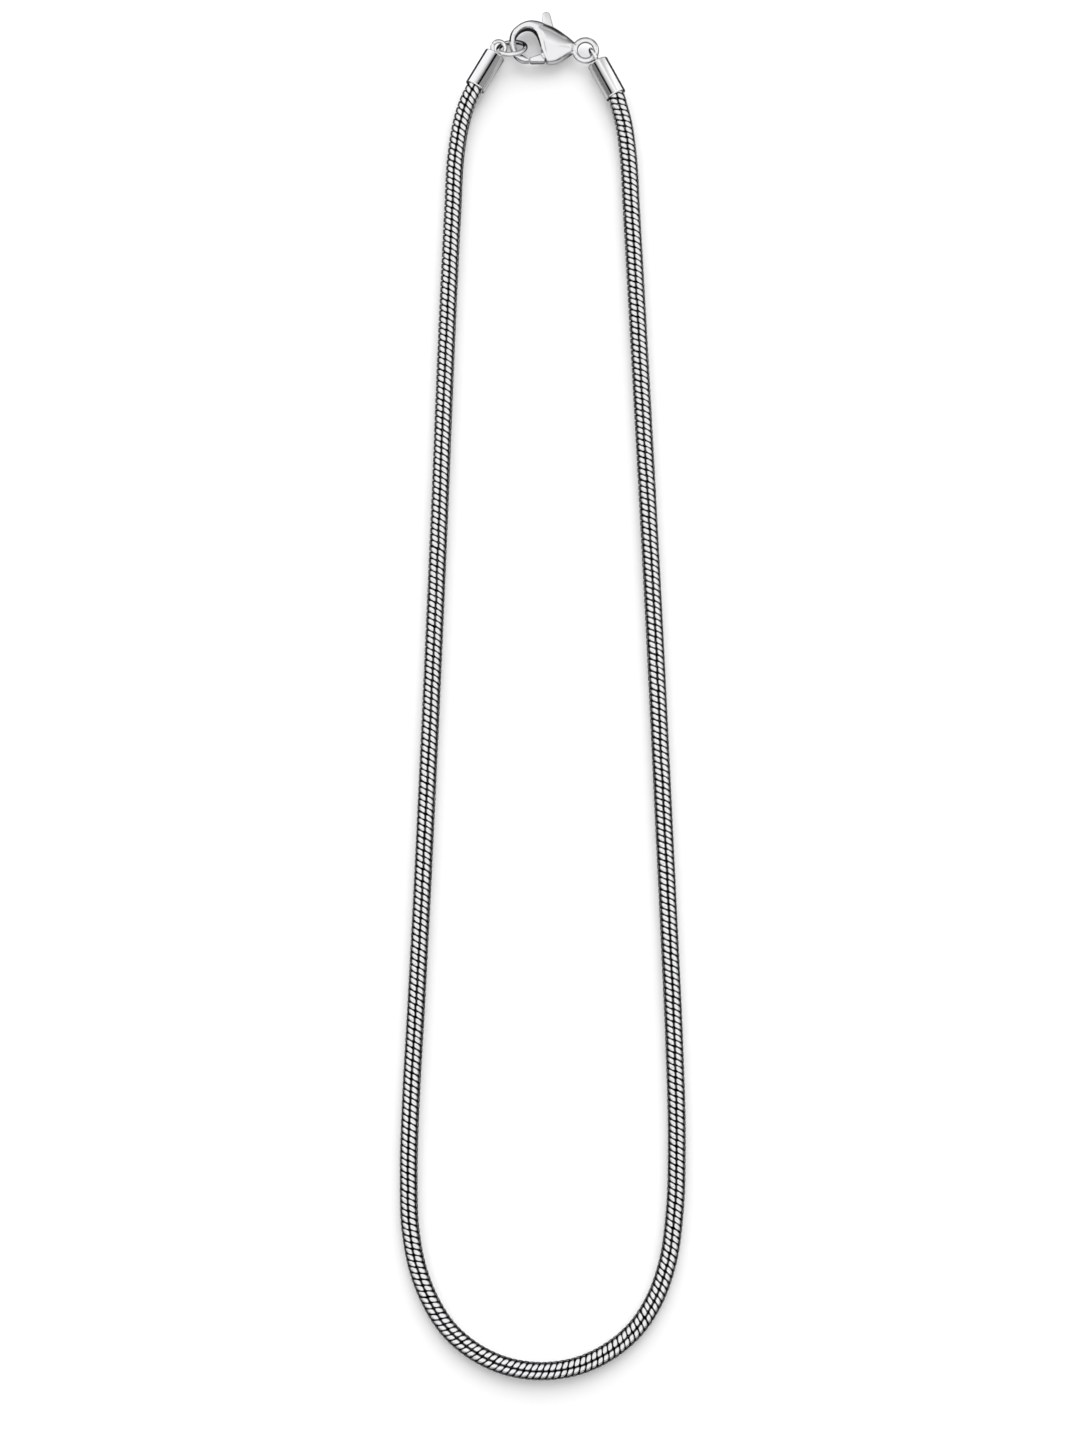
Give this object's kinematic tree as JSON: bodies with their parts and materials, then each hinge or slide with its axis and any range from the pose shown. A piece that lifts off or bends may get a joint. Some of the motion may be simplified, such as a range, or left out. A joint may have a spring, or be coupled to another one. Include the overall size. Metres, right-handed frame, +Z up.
{
  "type": "snake chain necklace",
  "caption": "Round snake chain necklace lying fastened as a long narrow U, with barrel end caps, a jump ring and a lobster-claw clasp whose sprung lever opens.",
  "frame": {"origin": "middle of the lying necklace's box, on the surface that it lies on", "axes": "+Y along the long strands, towards the clasp; +X across them; +Z up from the surface"},
  "size_m": [0.0437, 0.2154, 0.0038],
  "materials": {
    "chain_steel": "polished links, darkened in the joints",
    "polished_steel": "mirror polished",
    "clasp_steel": "cast and mirror polished"
  },
  "bodies": {
    "necklace": {"chain": "chain_steel", "cap_left": "polished_steel", "cap_right": "polished_steel", "jump_ring": "polished_steel", "clasp_body": "clasp_steel", "pivot_pin": "polished_steel"},
    "lever": {"lever": "clasp_steel"}
  },
  "joints": [
    {"name": "lever_hinge", "type": "hinge", "parent": "necklace", "child": "lever", "pos_m": [0.0017, 0.1011, 0.0017], "axis": [0, 0, -1], "range_deg": [0, 25], "stiffness_Nm_per_rad": 0.0002, "springref_deg": -28.65}
  ]
}
